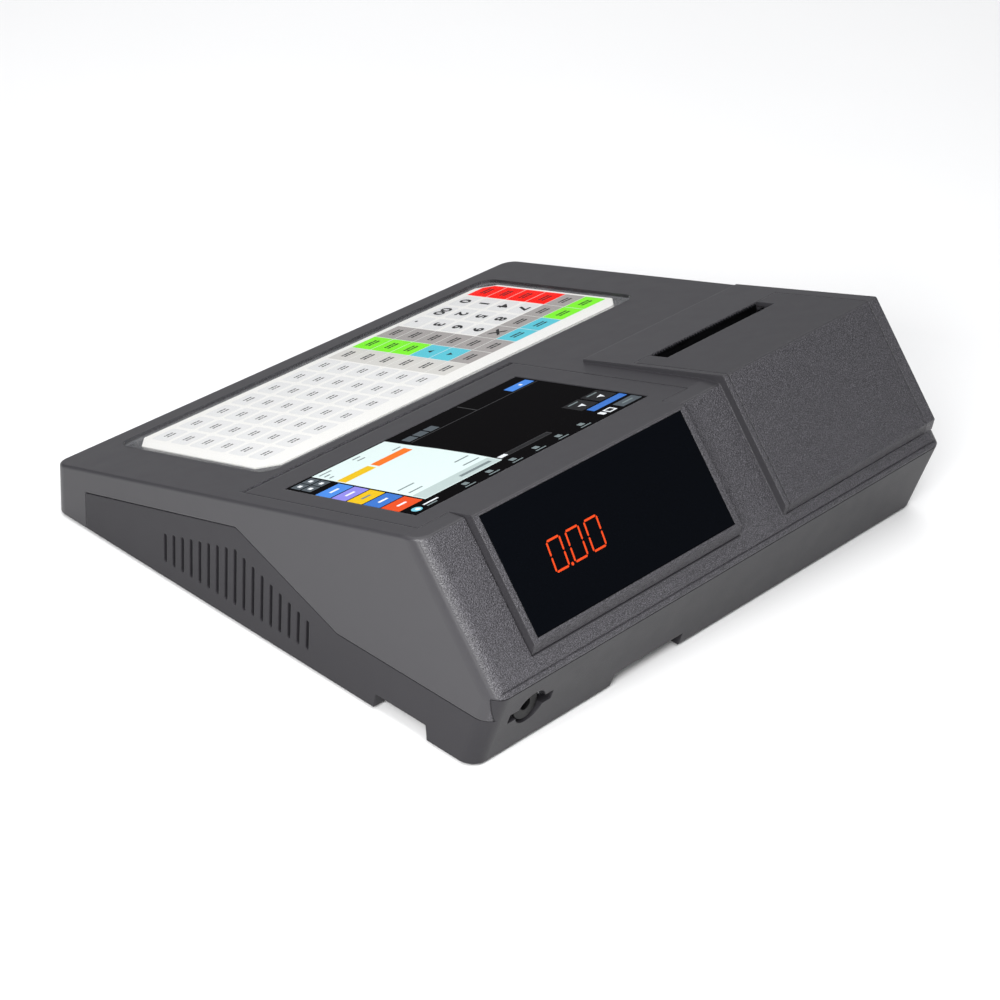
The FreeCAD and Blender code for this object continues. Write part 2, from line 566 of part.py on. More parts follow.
# ---------------------------------------------------------------- printer lid

def printer_cover():
    """Clamshell lid: raised top with the paper notch, raised slope, skirts and platen arms."""
    panel = prism("lid_panel", "lid_right", "lid_left", [
        top("lid_front", LID_RISE), slope("house_ridge", "proud"), slope("lid_length", "proud"),
        slope(f"lid_length + {FLANK} - 0.2", "0.2"), slope("lid_length - 1.4", "0.2"),
        slope("lid_length - 1.4", "proud - lid_wall"), slope("house_ridge + 1.4", "proud - lid_wall"),
        top("lid_front", f"{LID_RISE} - lid_wall")])
    panel = round_edges("lid_panel_round", panel, size("edge_radius"), ridge_of(panel))
    skirts = [prism(f"lid_skirt_{i}", low, f"{low} + 1.8", [
        top("lid_front", f"{LID_RISE} - 1"), slope("0", "proud - 1"), slope("lid_length - 6", "proud - 1"),
        slope("lid_length - 8", "-4"), slope("20", "-10"), slope("6", "-12"), top("lid_front + 4", "-4")])
        for i, low in enumerate(("lid_right", "lid_left - 1.8"))]
    arms = [prism(f"platen_arm_{i}", low, f"{low} + 2.4", [
        top("lid_front + 3", f"{LID_RISE} - 1"), top("lid_front + 24", f"{LID_RISE} - 1"),
        side("platen_y + 7", "platen_z - 1"), side("platen_y + 4", "platen_z - 5"),
        side("platen_y - 3", "platen_z - 5"), side("platen_y - 4.6", "platen_z - 1")])
        for i, low in enumerate(("-140.4", "-52"))]
    solid = fuse("lid_solid", [panel, *skirts, *arms])
    notch = slab("paper_notch", top, "slot_right", "slot_left", "lid_front - 5", "lid_front + slot_width",
                 "-6", "8")
    knuckle_bore = rod("knuckle_bore", "cover_pin_radius + pin_play", "lid_right - 1", "lid_left + 1",
                       slope("cover_pin_down", "cover_pin_up"))
    shaft_bore = rod("shaft_bore", "shaft_radius + pin_play", "-141", "-49", side("platen_y", "platen_z"))
    gear_room = rod("gear_room", "9.4", "gear_left - gear_face - 0.6", "gear_left + 0.6",
                    side("platen_y", "platen_z"))
    node("printer_cover", cut("lid_cut", solid, [notch, knuckle_bore, shaft_bore, gear_room]))
    node("cover_hinge_pin", rod("cover_pin", "cover_pin_radius", "lid_right - 4.5", "lid_left + 2",
                                slope("cover_pin_down", "cover_pin_up")))


# ---------------------------------------------------------------- gears and rollers

def involute_tooth(teeth, thin):
    """One tooth's outline from root to root, centred on +Y, as (angle, radius) pairs."""
    pitch_radius = size("gear_size") * teeth / 2
    base_radius = pitch_radius * math.cos(math.radians(20))
    tip_radius = pitch_radius + size("gear_size")
    root_radius = pitch_radius - 1.25 * size("gear_size")
    at_pitch = math.tan(math.radians(20)) - math.radians(20)
    half_angle = math.pi / (2 * teeth) - thin / (2 * pitch_radius)
    flank = []
    steps = 5
    start_radius = max(base_radius, root_radius)
    for i in range(steps + 1):
        radius = start_radius + (tip_radius - start_radius) * i / steps
        pressure = math.acos(base_radius / radius)
        flank.append((half_angle + at_pitch - (math.tan(pressure) - pressure), radius))
    root = [(flank[0][0], root_radius)]
    right = root + flank
    left = [(-angle, radius) for angle, radius in reversed(right)]
    return right, left


def gear(name, teeth, low, yz, phase, bore=0.0):
    """A spur gear with involute flanks, its axis along X, one tooth turned to phase degrees."""
    right, left = involute_tooth(teeth, size("mesh_play"))
    points = []
    for i in range(teeth):
        turn = math.radians(phase) + 2 * math.pi * i / teeth
        for angle, radius in right + left:
            spot = turn - angle
            points.append(FreeCAD.Vector(0, radius * math.cos(spot), radius * math.sin(spot)))
    wheel = Part.Face(Part.makePolygon(points + points[:1]))
    solid = wheel.extrude(FreeCAD.Vector(size("gear_face"), 0, 0))
    if bore:
        solid = solid.cut(Part.makeCylinder(bore, 20, FreeCAD.Vector(-5, 0, 0), X_AXIS))
    thing = doc.addObject("Part::Feature", name)
    thing.Shape = solid
    for axis, text in zip("xyz", (low, *yz)):
        bind(thing, f"Placement.Base.{axis}", text)
    doc.recompute()
    return thing


IDLER_REACH = "gear_size * (platen_teeth + idler_teeth) / 2 + 0.05"
MOTOR_REACH = "gear_size * (motor_teeth + idler_teeth) / 2 + 0.05"
IDLER_Y = f"platen_y - ({IDLER_REACH}) * sin(idler_lean)"
IDLER_Z = f"platen_z - ({IDLER_REACH}) * cos(idler_lean)"
MOTOR_Y = f"{IDLER_Y} - ({MOTOR_REACH}) * sin(motor_lean)"
MOTOR_Z = f"{IDLER_Z} + ({MOTOR_REACH}) * cos(motor_lean)"
GEAR_LOW = "gear_left - gear_face"


def roller_train():
    """Platen with its shaft and gear, the idler, and the stepping motor's pinion."""
    platen_at = side("platen_y", "platen_z")
    rubber = rod("platen_rubber", "platen_radius", "paper_middle - platen_length / 2",
                 "paper_middle + platen_length / 2", platen_at)
    bore = rod("platen_bore", "shaft_radius", "-150", "-40", platen_at)
    node("platen_roller", cut("platen_tube", rubber, [bore]))
    node("platen_shaft", rod("platen_rod", "shaft_radius", f"{GEAR_LOW} - 0.2", "-46.4", platen_at))

    # From a wheel's centre the next wheel lies at this direction in the YZ plane.
    to_idler = 270 - size("idler_lean")
    to_motor = 90 + size("motor_lean")
    node("platen_gear", gear("platen_wheel", int(size("platen_teeth")), GEAR_LOW, platen_at, to_idler,
                             bore=size("shaft_radius")))
    idler_teeth = int(size("idler_teeth"))
    half_step = 180 / idler_teeth
    idler_phase = to_idler + 180 + half_step
    node("idler_gear", gear("idler_wheel", idler_teeth, GEAR_LOW, side(IDLER_Y, IDLER_Z), idler_phase,
                            bore=2.0 + size("pin_play")))
    node("idler_pin", rod("idler_stud", "2", GEAR_LOW, "-141.7", side(IDLER_Y, IDLER_Z)))

    motor_teeth = int(size("motor_teeth"))
    steps_round = (to_motor - idler_phase) * idler_teeth / 360
    left_over = (steps_round - math.floor(steps_round)) * 360 / motor_teeth
    motor_phase = to_motor + 180 + left_over + 180 / motor_teeth
    node("motor_pinion", gear("motor_wheel", motor_teeth, GEAR_LOW, side(MOTOR_Y, MOTOR_Z), motor_phase,
                              bore=1.0))
    node("motor_shaft", rod("motor_rod", "1", f"{GEAR_LOW} - 0.2", "-127.5", side(MOTOR_Y, MOTOR_Z)))
    can = rod("motor_can", "motor_radius", "-141.6", "-141.6 + motor_length", side(MOTOR_Y, MOTOR_Z))
    can_bore = rod("motor_can_bore", "1 + pin_play", "-142", "-120", side(MOTOR_Y, MOTOR_Z))
    node("feed_motor", cut("motor_can_cut", can, [can_bore]))


# ---------------------------------------------------------------- print mechanism

def print_mechanism():
    """Frame with notched cheeks, thermal head on its heat sink, leaf spring and tear bar."""
    cheeks = []
    for i, low in enumerate(("-143.4", "-48.6")):
        cheeks.append(prism(f"cheek_{i}", low, f"{low} + 1.8", [
            side("172", "30"), side("206", "30"), side("210", "platen_z - 3"),
            side("platen_y - 3", "platen_z - 3"), side("platen_y - 3", "platen_z + 5"),
            side("192", "platen_z + 4.4"), side("184", "platen_z + 1.4"), side("172", "68")]))
    floor_plate = slab("frame_floor", side, "-142", "-48", "172", "204", "29", "31")
    back_web = slab("frame_web", side, "-142", "-48", "184.6", "186", "66", "platen_z + 1.8")
    solid = fuse("frame_solid", [*cheeks, floor_plate, back_web])
    tools = [rod("motor_way", "3", "-145", "-140", side(MOTOR_Y, MOTOR_Z)),
             rod("idler_way", "2.02", "-145", "-140", side(IDLER_Y, IDLER_Z))]
    for i, (x, y) in enumerate(PRINTER_POSTS):
        tools.append(post(f"frame_hole_{i}", "screw_radius + 0.1", x, side(y, "27"), "6"))
    node("printer_frame", cut("frame_cut", solid, tools))
    node("thermal_head", slab("head_board", side, "-136", "-54", "platen_y - 7.3", "platen_y - 6.3",
                              "67", "79"))
    node("head_heat_sink", slab("head_sink", side, "-141.6", "-48.6", "platen_y - 10.3", "platen_y - 7.3",
                                "66.5", "79.5"))
    node("head_spring", prism("head_leaf", "-103", "-87", [
        side("186", "70"), side("190.6", "74.4"), side("190.6", "75"), side("186", "79"),
        side("186", "78.4"), side("190", "74.7"), side("186", "70.6")]))
    teeth = 40
    bar_low = size("slot_right") + 1
    bar_step = (size("slot_left") - size("slot_right") - 2) / teeth
    edge = [FreeCAD.Vector(bar_low, 0, 0)]
    for i in range(teeth):
        edge.append(FreeCAD.Vector(bar_low + i * bar_step, 0, 5.4))
        edge.append(FreeCAD.Vector(bar_low + (i + 0.5) * bar_step, 0, 6.4))
    edge.append(FreeCAD.Vector(bar_low + teeth * bar_step, 0, 5.4))
    edge.append(FreeCAD.Vector(bar_low + teeth * bar_step, 0, 0))
    blade = Part.Face(Part.makePolygon(edge + edge[:1])).extrude(FreeCAD.Vector(0, 0.5, 0))
    tear_bar = doc.addObject("Part::Feature", "tear_blade")
    tear_bar.Shape = blade
    place(tear_bar, "0", top("lid_front + 0.3 - lid_gap", "-4.4"), tilt="top_tilt")
    doc.recompute()
    node("tear_bar", tear_bar)
    bolts = [screw(f"frame_bolt_{i}", x, side(y, "31"), "head_radius - 0.4", "screw_radius - 0.2", "8",
                   down=True)
             for i, (x, y) in enumerate(PRINTER_POSTS)]
    node("printer_screws", group("frame_bolts", bolts))


def screw(name, x, yz, head, shank, length, down):
    """A pan-head screw whose head sits at yz; down says that the shank points down."""
    y, z = yz
    head_part = post(name + "_head", head, x, (y, z), "1.8")
    if down:
        shank_part = post(name + "_shank", shank, x, (y, f"{z} - {length}"), length)
    else:
        shank_part = post(name + "_shank", shank, x, (y, f"{z} + 1.8"), length)
    return fuse(name, [head_part, shank_part])


def paper_path():
    """Drop-in bucket with a paper roll on its core."""
    roll_at = side("roll_y", "roll_z")
    low = "paper_middle - paper_width / 2"
    high = "paper_middle + paper_width / 2"
    roll = rod("roll_paper", "roll_radius", low, high, roll_at)
    roll_bore = rod("roll_paper_bore", "core_radius", "-150", "-40", roll_at)
    node("paper_roll", cut("roll_tube", roll, [roll_bore]))
    core = rod("roll_core", "core_radius", low, high, roll_at)
    core_bore = rod("roll_core_bore", "core_bore", "-150", "-40", roll_at)
    node("paper_core", cut("core_tube", core, [core_bore]))
    outer = "roll_radius + bucket_play + bucket_wall"
    shell = rod("bucket_outside", outer, f"{low} - 3", f"{high} + 3", roll_at)
    collar = slab("bucket_collar", side, f"{low} - 3", f"{high} + 3", f"roll_y - ({outer})",
                  f"roll_y + {outer}", "roll_z", "roll_z + 2")
    front_wall = slab("bucket_front", side, f"{low} - 3", f"{high} + 3", f"roll_y - ({outer})",
                      f"roll_y - ({outer}) + bucket_wall", "roll_z", "roll_z + 14")
    solid = fuse("bucket_solid", [shell, collar, front_wall])
    space = rod("bucket_space", "roll_radius + bucket_play", f"{low} - 1", f"{high} + 1", roll_at)
    upper = slab("bucket_upper", side, f"{low} - 1", f"{high} + 1", "roll_y - roll_radius - bucket_play",
                 "roll_y + roll_radius + bucket_play", "roll_z", "roll_z + 40")
    lid_off = slab("bucket_top_off", side, "-150", "-40", "roll_y - roll_radius - bucket_play",
                   "roll_y + 60", "roll_z + 2", "roll_z + 60")
    node("paper_bucket", cut("bucket_cut", solid, [space, upper, lid_off]))


# ---------------------------------------------------------------- boards, ports and inlet

def electronics():
    """Main board with its larger parts, the port board in the cable bay, and the power inlet."""
    board = slab("main_pcb", side, "board_left", "board_right", "board_front", "board_rear",
                 "board_height", "board_height + 1.6")
    holes = [post(f"main_pcb_hole_{i}", "screw_radius + 0.2", x, side(y, "board_height - 1"), "5")
             for i, (x, y) in enumerate(BOARD_POSTS)]
    node("main_board", cut("main_pcb_cut", board, holes))
    on_board = "board_height + 1.6"
    sink_base = slab("sink_base", side, "60", "96", "70", "106", on_board, f"{on_board} + 2")
    fins = [slab(f"sink_fin_{i}", side, f"60 + {i} * 5", f"61.4 + {i} * 5", "70", "106",
                 f"{on_board} + 1.9", f"{on_board} + 10") for i in range(8)]
    node("processor_heat_sink", fuse("heat_sink", [sink_base, *fins]))
    caps = [post(f"capacitor_{i}", "4", f"108 + {i} * 11", side("120", on_board), "12") for i in range(3)]
    node("capacitors", group("capacitor_row", caps))
    node("backup_battery", post("battery_cell", "10", "20", side("150", on_board), "3.2"))
    node("memory_card_slot", slab("card_slot", side, "104", "130", "56", "84",
                                  on_board, f"{on_board} + 2.4"))
    node("ribbon_socket", slab("ribbon_plug", side, "30", "52", "59.8", "64.6", on_board, f"{on_board} + 6"))
    node("buzzer", post("buzzer_can", "6", "128", side("160", on_board), "7"))
    bolts = [screw(f"board_bolt_{i}", x, side(y, on_board), "head_radius", "screw_radius - 0.1", "6",
                   down=True)
             for i, (x, y) in enumerate(BOARD_POSTS)]
    node("board_screws", group("board_bolts", bolts))

    node("port_board", slab("port_pcb", side, "bay_left + 4", "bay_right - 4", "bay_front - 17",
                            "bay_front - 2.6", "wall", "wall + 1.6"))
    for name, low, high, tall, holes in (("drawer_port", 50, 63, 12.4, [(52.4, 60.6, 6.3, 13.3)]),
                                         ("network_port", 69, 85, 13, [(71, 83, 6.5, 13.9)]),
                                         ("usb_port", 91, 106, 13, [(92.6, 104.4, 5.7, 8.3),
                                                                    (92.6, 104.4, 11.3, 13.9)])):
        shell = slab(name + "_shell", side, str(low), str(high), "bay_front - 14", "bay_front - 0.5",
                     "wall + 1.6", f"wall + 1.6 + {tall}")
        mouths = [slab(f"{name}_mouth_{i}", side, str(a), str(b), "bay_front - 10", "bay_front + 2",
                       str(c), str(d)) for i, (a, b, c, d) in enumerate(holes)]
        node(name, cut(name + "_cut", shell, mouths))

    plate = slab("inlet_plate", side, "inlet_x - 15.5", "inlet_x + 15.5", "bottom_depth - 1",
                 "bottom_depth + 1", "inlet_z - 9", "inlet_z + 10")
    barrel = stub("inlet_barrel", "7.6", "inlet_x", side("bottom_depth - 14", "inlet_z"), "17.5")
    socket = stub("inlet_socket", "3.2", "inlet_x", side("bottom_depth - 9", "inlet_z"), "30")
    contact = stub("inlet_contact", "1.2", "inlet_x", side("bottom_depth - 10", "inlet_z"), "12")
    holder = cut("inlet_holder", fuse("inlet_body", [plate, barrel]), [socket])
    node("power_inlet", fuse("inlet_whole", [holder, contact]))
    heads = [stub(f"inlet_screw_{i}", "1.9", f"inlet_x + {offset}", side("bottom_depth + 1", "inlet_z"),
                  "1.2")
             for i, offset in enumerate((-11.6, 11.6))]
    node("inlet_screws", group("inlet_screw_heads", heads))


# ---------------------------------------------------------------- feet and case screws

def feet_and_screws():
    for i, (sx, y) in enumerate(FEET):
        name = f"foot_{'front' if i % 2 == 0 else 'rear'}_{'left' if sx < 0 else 'right'}"
        node(name, post(name + "_pad", "foot_radius", f"{sx} * ({HALF} - foot_inset)",
                        side(y, "-foot_drop"), "foot_height"))
    bolts = [screw(f"case_bolt_{i}", f"{sx} * {SCREW_X}", side(y, "1"), "head_radius", "screw_radius - 0.2",
                   "14", down=False) for i, (sx, y) in enumerate(CASE_SCREWS)]
    node("case_screws", group("case_bolts", bolts))


# ---------------------------------------------------------------- build, check and write

def failed(thing):
    return any(word in thing.State for word in ("Invalid", "Error"))


upper_case()
lower_case()
keyboard()
display_unit()
printer_cover()
roller_train()
print_mechanism()
paper_path()
electronics()
feet_and_screws()
doc.recompute()

broken = [thing.Name for thing in doc.Objects if failed(thing)]
if broken:
    raise RuntimeError(f"failed objects: {broken}")
for thing in NODES:
    if thing.Shape.isNull() or not thing.Shape.isValid():
        raise RuntimeError(f"{thing.Label} has no valid shape")
os.makedirs("parts", exist_ok=True)
for thing in NODES:
    thing.Shape.exportStep(f"parts/{thing.Label}.step")
    box = thing.Shape.BoundBox
    print(f"{thing.Label:24s} solids {len(thing.Shape.Solids):2d}  volume {thing.Shape.Volume:11.1f}  "
          f"x {box.XMin:7.1f} {box.XMax:7.1f}  y {box.YMin:7.1f} {box.YMax:7.1f}  "
          f"z {box.ZMin:6.1f} {box.ZMax:6.1f}")
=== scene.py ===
"""The look of the cash register: materials, key and screen artwork, lit digits, studio and camera.

Lengths on the two working surfaces are in millimetres: x runs to the cashier's right, and the
second number runs up the main top from its front edge, or down the customer's slope from the ridge.
"""

import math

import bmesh
import bpy
from mathutils import Matrix, Vector


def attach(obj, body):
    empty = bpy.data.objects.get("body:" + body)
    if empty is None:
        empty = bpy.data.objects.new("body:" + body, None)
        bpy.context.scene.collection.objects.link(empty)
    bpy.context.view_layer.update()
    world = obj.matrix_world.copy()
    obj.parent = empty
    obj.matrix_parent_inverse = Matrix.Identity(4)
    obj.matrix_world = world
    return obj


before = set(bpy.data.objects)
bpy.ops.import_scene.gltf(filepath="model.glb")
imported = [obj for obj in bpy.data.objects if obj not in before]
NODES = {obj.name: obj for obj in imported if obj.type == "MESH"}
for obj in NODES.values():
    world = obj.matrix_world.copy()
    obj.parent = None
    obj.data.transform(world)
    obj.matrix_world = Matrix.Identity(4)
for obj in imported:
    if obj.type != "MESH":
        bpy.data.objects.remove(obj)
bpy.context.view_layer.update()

MM = 0.001


# ---------------------------------------------------------------- working surfaces

class Surface:
    """A flat face of the register: its origin, where its second number runs and its normal.

    page_up is 1 where a reader's page points up along that direction, and -1 where it points back.
    """

    def __init__(self, origin, along, normal, page_up):
        self.origin = Vector(origin)
        self.along = Vector(along)
        self.normal = Vector(normal)
        self.page_up = page_up

    def at(self, x, s, up):
        return self.origin + (Vector((x, 0, 0)) + self.along * s + self.normal * up) * MM

    def page(self, x, s, up):
        """The matrix that lays a page, read by whoever stands at that side, flat on the surface."""
        upwards = self.along * self.page_up
        right = upwards.cross(self.normal)
        turn = Matrix((right, upwards, self.normal)).transposed().to_4x4()
        return Matrix.Translation(self.at(x, s, up)) @ turn


TOP_TILT = math.radians(17)
SLOPE_TILT = math.radians(49)
TOP = Surface((0, -0.148, 0.0276), (0, math.cos(TOP_TILT), math.sin(TOP_TILT)),
              (0, -math.sin(TOP_TILT), math.cos(TOP_TILT)), 1)
SLOPE = Surface((0, 0.0972, 0.1015), (0, math.cos(SLOPE_TILT), -math.sin(SLOPE_TILT)),
                (0, math.sin(SLOPE_TILT), math.cos(SLOPE_TILT)), -1)

# Heights of the printed or lit faces over their surface.
FOIL_TOP = -1.0
SCREEN_TOP = -0.3
WINDOW_TOP = 4.4


# ---------------------------------------------------------------- material helpers

def srgb(red, green, blue):
    """Linear colour from the usual 0 to 255 numbers."""
    return tuple((c / 255 / 12.92) if c < 11 else ((c / 255 + 0.055) / 1.055) ** 2.4
                 for c in (red, green, blue)) + (1.0,)


def shade(colour, gain, lift=0.0):
    """The same colour made lighter or darker."""
    return tuple(c * gain + lift for c in colour[:3]) + (1.0,)


class Maker:
    """Builds one node material, from left to right."""

    def __init__(self, name):
        self.material = bpy.data.materials.new(name)
        self.material.use_nodes = True
        self.tree = self.material.node_tree
        self.shader = self.tree.nodes["Principled BSDF"]
        self.output = self.tree.nodes["Material Output"]
        self.coords = self.add("ShaderNodeTexCoord")

    def add(self, kind, **values):
        node = self.tree.nodes.new(kind)
        for key, value in values.items():
            setattr(node, key, value)
        return node

    def link(self, source, target):
        self.tree.links.new(source, target)

    def noise(self, scale, detail=2.0, stretch=(1, 1, 1)):
        """Noise in the piece's own space; scale counts bumps per metre."""
        mapping = self.add("ShaderNodeMapping")
        mapping.inputs["Scale"].default_value = stretch
        self.link(self.coords.outputs["Object"], mapping.inputs["Vector"])
        texture = self.add("ShaderNodeTexNoise")
        texture.inputs["Scale"].default_value = scale
        texture.inputs["Detail"].default_value = detail
        self.link(mapping.outputs["Vector"], texture.inputs["Vector"])
        return texture.outputs["Fac"]

    def spread(self, source, low, high):
        """Turns a 0 to 1 pattern into a range of values."""
        ramp = self.add("ShaderNodeMapRange")
        ramp.inputs["From Min"].default_value = 0.3
        ramp.inputs["From Max"].default_value = 0.7
        ramp.inputs["To Min"].default_value = low
        ramp.inputs["To Max"].default_value = high
        self.link(source, ramp.inputs["Value"])
        return ramp.outputs["Result"]

    def mix(self, factor, first, second):
        mixer = self.add("ShaderNodeMix", data_type="RGBA")
        self.link(factor, mixer.inputs["Factor"])
        mixer.inputs["A"].default_value = first
        mixer.inputs["B"].default_value = second
        return mixer.outputs["Result"]

    def times(self, first, second):
        """The product of two patterns, held between 0 and 1."""
        product = self.add("ShaderNodeMath", operation="MULTIPLY")
        product.use_clamp = True
        self.link(first, product.inputs[0])
        self.link(second, product.inputs[1])
        return product.outputs["Value"]

    def sheen(self, pattern, low, high):
        """Lets a pattern drive the roughness between two values."""
        self.link(self.spread(pattern, low, high), self.shader.inputs["Roughness"])

    def bump(self, source, depth, softened=0.0):
        """Surface relief of that depth in metres, over edges rounded by softened metres."""
        relief = self.add("ShaderNodeBump")
        relief.inputs["Distance"].default_value = depth
        self.link(source, relief.inputs["Height"])
        if softened:
            bevel = self.add("ShaderNodeBevel", samples=6)
            bevel.inputs["Radius"].default_value = softened
            self.link(bevel.outputs["Normal"], relief.inputs["Normal"])
        self.link(relief.outputs["Normal"], self.shader.inputs["Normal"])

    def set(self, **values):
        """Sets shader inputs to constants and hands over the finished material."""
        for key, value in values.items():
            self.shader.inputs[key.replace("_", " ")].default_value = value
        return self.material


def moulded(name, colour, roughness=0.42, softened=0.0009, ior=1.42):
    """Moulded plastic: faint colour drift, a slightly uneven sheen and a fine grain."""
    maker = Maker(name)
    drift = maker.spread(maker.noise(14, 4.0), 0.0, 1.0)
    maker.link(maker.mix(drift, colour, shade(colour, 1.1)), maker.shader.inputs["Base Color"])
    maker.sheen(maker.noise(90, 5.0), roughness - 0.015, roughness + 0.02)
    maker.bump(maker.noise(9000, 1.0), 0.00002, softened=softened)
    return maker.set(IOR=ior)


# How far a face's normal points to the rear where the spark grain and its painted glints begin and where
# they're full.
SPARK_FACING = (0.5, 0.7)


def sparked(name, colour, roughness):
    """Moulded plastic, smooth on top, with a coarse spark grain on faces toward the customer, and painted
    glints there: lighter spots in the colour.
    """
    maker = Maker(name)
    split = maker.add("ShaderNodeSeparateXYZ")
    maker.link(maker.coords.outputs["Normal"], split.inputs["Vector"])
    facing = maker.add("ShaderNodeMapRange")
    facing.inputs["From Min"].default_value, facing.inputs["From Max"].default_value = SPARK_FACING
    maker.link(split.outputs["Y"], facing.inputs["Value"])
    grain = maker.times(maker.noise(1500, 1.0), facing.outputs["Result"])

    # Painted glints: spots of the colour made up to three times lighter, standing in for the grain's
    # sparkle under light.
    painted_glint = maker.times(maker.spread(maker.noise(2100, 0.0), -0.3, 0.9), facing.outputs["Result"])
    maker.link(maker.mix(painted_glint, colour, shade(colour, 3.0)), maker.shader.inputs["Base Color"])
    maker.sheen(maker.noise(90, 5.0), roughness - 0.015, roughness + 0.02)
    maker.bump(grain, 0.0006, softened=0.0009)
    return maker.set(IOR=1.42)


def printed(name, colour, roughness=0.5, glow=0.0):
    """Printed ink or a lit pixel field: even colour with a faint dot texture."""
    maker = Maker(name)
    dots = maker.spread(maker.noise(2600, 1.0), 0.0, 1.0)
    tint = maker.mix(dots, colour, shade(colour, 0.93))
    maker.link(tint, maker.shader.inputs["Base Color"])
    if glow:
        maker.link(tint, maker.shader.inputs["Emission Color"])
        maker.set(Emission_Strength=glow)
    maker.link(maker.spread(maker.noise(400, 2.0), roughness - 0.03, roughness + 0.03),
               maker.shader.inputs["Roughness"])
    maker.bump(maker.noise(3000, 1.0), 0.000004)
    return maker.set(IOR=1.12)


def metal(name, colour, roughness):
    """Bare metal with drawn scratches along X."""
    maker = Maker(name)
    streaks = maker.noise(60, 6.0, (1, 40, 40))
    tint = maker.mix(maker.spread(streaks, 0.0, 1.0), shade(colour, 0.8), colour)
    maker.link(tint, maker.shader.inputs["Base Color"])
    maker.sheen(streaks, roughness - 0.06, roughness + 0.1)
    maker.bump(streaks, 0.00001, softened=0.0003)
    return maker.set(Metallic=1.0)


def soft_rubber(name, colour):
    """Dull rubber with a dusty bloom."""
    maker = Maker(name)
    bloom = maker.spread(maker.noise(160, 6.0), 0.0, 1.0)
    maker.link(maker.mix(bloom, colour, shade(colour, 1.5, 0.004)), maker.shader.inputs["Base Color"])
    maker.bump(maker.noise(5000, 3.0), 0.00003, softened=0.0004)
    return maker.set(Roughness=0.75, IOR=1.5)


def circuit(name):
    """Green board: solder resist over copper tracks that run square to each other."""
    maker = Maker(name)
    across = maker.spread(maker.noise(500, 0.0, (1, 0.04, 1)), 0.0, 1.0)
    along = maker.spread(maker.noise(500, 0.0, (0.04, 1, 1)), 0.0, 1.0)
    tracks = maker.times(across, along)
    colour = maker.mix(tracks, srgb(14, 74, 44), srgb(38, 112, 68))
    maker.link(colour, maker.shader.inputs["Base Color"])
    maker.bump(tracks, 0.00004, softened=0.0002)
    return maker.set(Roughness=0.35)


def fibres(name, colour, speck):
    """Paper or card: long faint fibres and soft tooth."""
    maker = Maker(name)
    strands = maker.spread(maker.noise(900, 5.0, (0.15, 1, 1)), 0.0, 1.0)
    maker.link(maker.mix(strands, colour, speck), maker.shader.inputs["Base Color"])
    maker.bump(strands, 0.00003)
    return maker.set(Roughness=0.85)


def dark_glass(name, colour, roughness, ior):
    """Tinted glass or coated touch glass, with a faint polish pattern and a few dust marks."""
    maker = Maker(name)
    dust = maker.spread(maker.noise(2200, 8.0), -0.6, 0.35)
    polish = maker.spread(maker.noise(25, 3.0), roughness, roughness + 0.03)
    maker.link(maker.mix(dust, colour, shade(colour, 1.6, 0.001)), maker.shader.inputs["Base Color"])
    maker.link(polish, maker.shader.inputs["Roughness"])
    maker.bump(maker.noise(30, 2.0), 0.000004, softened=0.0003)
    return maker.set(IOR=ior)


def clear_film(name):
    """Clear cover: what lies under it shows, with a soft reflection on top."""
    maker = Maker(name)
    through = maker.add("ShaderNodeBsdfTransparent")
    through.inputs["Color"].default_value = (0.985, 0.987, 0.987, 1.0)
    shine = maker.add("ShaderNodeBsdfGlossy")
    shine.inputs["Color"].default_value = (0.9, 0.9, 0.9, 1.0)
    maker.link(maker.spread(maker.noise(70, 4.0), 0.16, 0.26), shine.inputs["Roughness"])
    edge = maker.add("ShaderNodeFresnel")
    edge.inputs["IOR"].default_value = 1.05
    ripple = maker.add("ShaderNodeBump")
    ripple.inputs["Distance"].default_value = 0.00003
    maker.link(maker.noise(120, 2.0), ripple.inputs["Height"])
    maker.link(ripple.outputs["Normal"], shine.inputs["Normal"])
    mixer = maker.add("ShaderNodeMixShader")
    maker.link(edge.outputs["Fac"], mixer.inputs["Fac"])
    maker.link(through.outputs["BSDF"], mixer.inputs[1])
    maker.link(shine.outputs["BSDF"], mixer.inputs[2])
    maker.link(mixer.outputs["Shader"], maker.output.inputs["Surface"])
    maker.tree.nodes.remove(maker.shader)
    return maker.material


# ---------------------------------------------------------------- finishes of the CAD pieces

